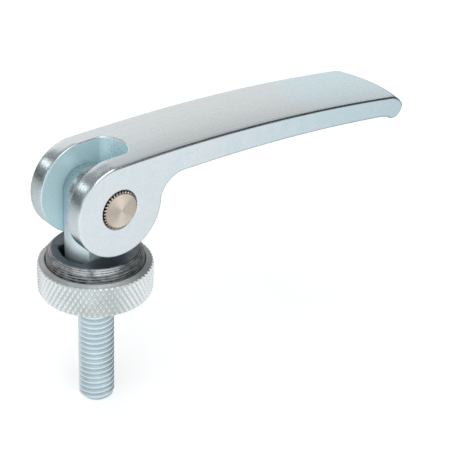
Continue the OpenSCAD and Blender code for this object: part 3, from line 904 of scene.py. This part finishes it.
class CAMLEVER_OT_studio(bpy.types.Operator):
    """Sets pale paper, soft lamps and the camera at the photograph's angle"""

    bl_idname = "camlever.studio"
    bl_label = "Studio"

    def execute(self, context):
        s = context.scene.studio_settings
        scene = context.scene
        bpy.ops.object.select_all(action="DESELECT")
        bpy.ops.mesh.primitive_plane_add(size=4, location=(0, 0, cad_box[0].z - 0.0002))
        floor = context.object
        floor.name = "paper_floor"
        paper = bpy.data.materials.new("pale_paper")
        paper.use_nodes = True
        tree = paper.node_tree
        tree.nodes.clear()
        path = put(tree, "LightPath")
        mirrored = put(
            tree,
            "Math",
            {0: path.outputs["Is Glossy Ray"], 1: path.outputs["Is Transmission Ray"]},
            operation="MAXIMUM",
        )
        seen = put(tree, "Math", {0: path.outputs["Is Camera Ray"], 1: mirrored}, operation="MAXIMUM")
        # lifted to white for the camera, it keeps a faint shadow; in the metal it is seen mostly as a glow
        tone = put(
            tree, "Mix", {"Factor": mirrored, "A": linear(s.paper), "B": (0.15, 0.15, 0.15, 1.0)}, data_type="RGBA"
        )
        sheet = put(tree, "BsdfDiffuse", {"Color": tone})
        # seen in the metal it carries a painted pool of light, brightest in front of the object, to the left
        spot = put(tree, "TexCoord").outputs["Object"]
        ahead = put(tree, "VectorMath", {0: spot, 1: (-0.5, -0.86, 0.0)}, operation="DOT_PRODUCT")
        painted_light_pool = put(
            tree, "MapRange", {"Value": ahead, "From Min": -0.06, "From Max": 0.03, "To Min": 0.42, "To Max": 0.98}
        )
        # and given a painted shadow where the arm hangs over it
        across = put(tree, "SeparateXYZ", {"Vector": spot})
        beside = put(tree, "Math", {0: across.outputs["Y"]}, operation="ABSOLUTE")
        under = put(
            tree, "MapRange", {"Value": beside, "From Min": 0.015, "From Max": 0.04, "To Min": 0.35, "To Max": 1.0}
        )
        clear = put(
            tree,
            "MapRange",
            {"Value": across.outputs["X"], "From Min": 0.03, "From Max": 0.05, "To Min": 1.0, "To Max": 0.0},
        )
        painted_arm_shadow = put(tree, "Math", {0: under, 1: clear}, operation="MAXIMUM")
        mirror = put(tree, "Math", {0: painted_light_pool, 1: painted_arm_shadow}, operation="MULTIPLY")
        lift = put(tree, "Mix", {"Factor": path.outputs["Is Camera Ray"], "A": mirror, "B": 0.45})
        level = put(tree, "Math", {0: seen, 1: lift}, operation="MULTIPLY")
        glow = put(tree, "Emission", {"Strength": level})
        both = put(tree, "AddShader", {0: sheet, 1: glow})
        put(tree, "OutputMaterial", {"Surface": both})
        floor.data.materials.append(paper)

        for name, place, tilt, width, height, power in (
            ("key_softbox", (-0.308, 0.44, 0.29), 0.0, 0.1, 0.1, 0.09),
            ("pale_wall", (0.255, 0.65, 0.11), 0.5, 1.04, 0.83, 2.2),
            ("top_fill", (0.0, -0.1, 0.7), 0.0, 0.6, 0.6, 2.3),
        ):
            bpy.ops.object.light_add(type="AREA", location=place)
            lamp = context.object
            lamp.name = name
            lamp.data.shape = "RECTANGLE"
            lamp.data.size, lamp.data.size_y = width, height
            lamp.data.energy = power
            aim = Vector((0, 0, s.aim)) - Vector(place)
            stand = aim.to_track_quat("-Z", "Y").to_matrix() @ Matrix.Rotation(tilt, 3, "Z")
            lamp.rotation_euler = stand.to_euler()

        world = bpy.data.worlds.new("studio_walls")
        scene.world = world
        world.use_nodes = True
        tree = world.node_tree
        tree.nodes.clear()
        way = put(tree, "TexCoord").outputs["Generated"]
        back = Vector(
            (
                math.sin(s.azimuth) * math.cos(s.elevation),
                -math.cos(s.azimuth) * math.cos(s.elevation),
                math.sin(s.elevation),
            )
        )
        # the room is pale in front of the object, dim and darker downwards behind it, and open high on the right
        split = put(tree, "SeparateXYZ", {"Vector": way})
        rear = put(
            tree,
            "MapRange",
            {"Value": split.outputs["Z"], "From Min": 0.05, "From Max": 0.65, "To Min": 0.04, "To Max": 0.26},
        )
        front = put(tree, "VectorMath", {0: way, 1: (-0.35, -0.93, 0.0)}, operation="DOT_PRODUCT")
        pale = put(tree, "MapRange", {"Value": front, "From Max": 0.6})
        walls = put(tree, "Math", {0: rear, 1: pale}, operation="MAXIMUM")
        # a pale panel on the left whitens one side of each diamond on the nut's front
        left = put(tree, "VectorMath", {0: way, 1: (-0.881, 0.302, 0.365)}, operation="DOT_PRODUCT")
        panel = put(tree, "MapRange", {"Value": left, "From Min": 0.93, "From Max": 0.97, "To Max": 1.0})
        lit = put(tree, "Math", {0: walls, 1: panel}, operation="MAXIMUM")
        opening = put(tree, "VectorMath", {0: way, 1: (0.55, -0.35, 0.76)}, operation="DOT_PRODUCT")
        dark = put(
            tree, "MapRange", {"Value": opening, "From Min": 0.68, "From Max": 0.86, "To Min": 1.0, "To Max": 0.03}
        )
        level = put(tree, "Math", {0: lit, 1: dark}, operation="MULTIPLY")
        air = put(tree, "Background", {"Color": (0.97, 1.0, 1.02, 1.0), "Strength": level})
        put(tree, "OutputWorld", {"Surface": air})

        right = Vector((math.cos(s.azimuth), math.sin(s.azimuth), 0))
        above = back.cross(right)
        tilt_right = math.cos(s.roll) * right + math.sin(s.roll) * above
        tilt_above = math.cos(s.roll) * above - math.sin(s.roll) * right
        eye = s.distance * back + s.right * tilt_right + s.above * tilt_above
        bpy.ops.object.camera_add(location=eye)
        camera = context.object
        camera.name = "photo_camera"
        camera.data.lens = s.lens
        camera.data.clip_start = 0.01
        camera.rotation_euler = Matrix((tilt_right, tilt_above, back)).transposed().to_euler()
        scene.camera = camera
        scene.view_settings.view_transform = "Standard"
        return {"FINISHED"}


class CAMLEVER_PT_panel(bpy.types.Panel):
    """Lists the pieces with their sizes, finishes and studio"""

    bl_label = "Cam lever"
    bl_idname = "CAMLEVER_PT_panel"
    bl_space_type = "VIEW_3D"
    bl_region_type = "UI"
    bl_category = "Cam lever"

    def draw(self, context):
        for operator, group in (
            (CAMLEVER_OT_lever, "lever_sizes"),
            (CAMLEVER_OT_pin, "pin_sizes"),
            (CAMLEVER_OT_bolt, "bolt_sizes"),
            (CAMLEVER_OT_plate, "plate_sizes"),
            (CAMLEVER_OT_nut, "nut_sizes"),
            (CAMLEVER_OT_studio, "studio_settings"),
        ):
            box = self.layout.box()
            box.operator(operator.bl_idname)
            values = getattr(context.scene, group)
            for name in values.__annotations__:
                box.prop(values, name)
        box = self.layout.box()
        for name in context.scene.cam_lever_finishes.__annotations__:
            box.prop(context.scene.cam_lever_finishes, name)


GROUPS = {
    "lever_sizes": LeverSizes,
    "pin_sizes": PinSizes,
    "bolt_sizes": BoltSizes,
    "plate_sizes": PlateSizes,
    "nut_sizes": NutSizes,
    "cam_lever_finishes": Finishes,
    "studio_settings": StudioSettings,
}
TOOLS = (
    CAMLEVER_OT_lever,
    CAMLEVER_OT_pin,
    CAMLEVER_OT_bolt,
    CAMLEVER_OT_plate,
    CAMLEVER_OT_nut,
    CAMLEVER_OT_studio,
    CAMLEVER_PT_panel,
)


def register():
    for name, group in GROUPS.items():
        bpy.utils.register_class(group)
        setattr(bpy.types.Scene, name, bpy.props.PointerProperty(type=group))
    for tool in TOOLS:
        bpy.utils.register_class(tool)


def unregister():
    for tool in reversed(TOOLS):
        bpy.utils.unregister_class(tool)
    for name, group in GROUPS.items():
        delattr(bpy.types.Scene, name)
        bpy.utils.unregister_class(group)


def main():
    register()
    bpy.ops.camlever.lever()
    bpy.ops.camlever.pin()
    bpy.ops.camlever.bolt()
    bpy.ops.camlever.plate()
    bpy.ops.camlever.nut()
    bpy.ops.camlever.studio()


if __name__ == "__main__":
    main()
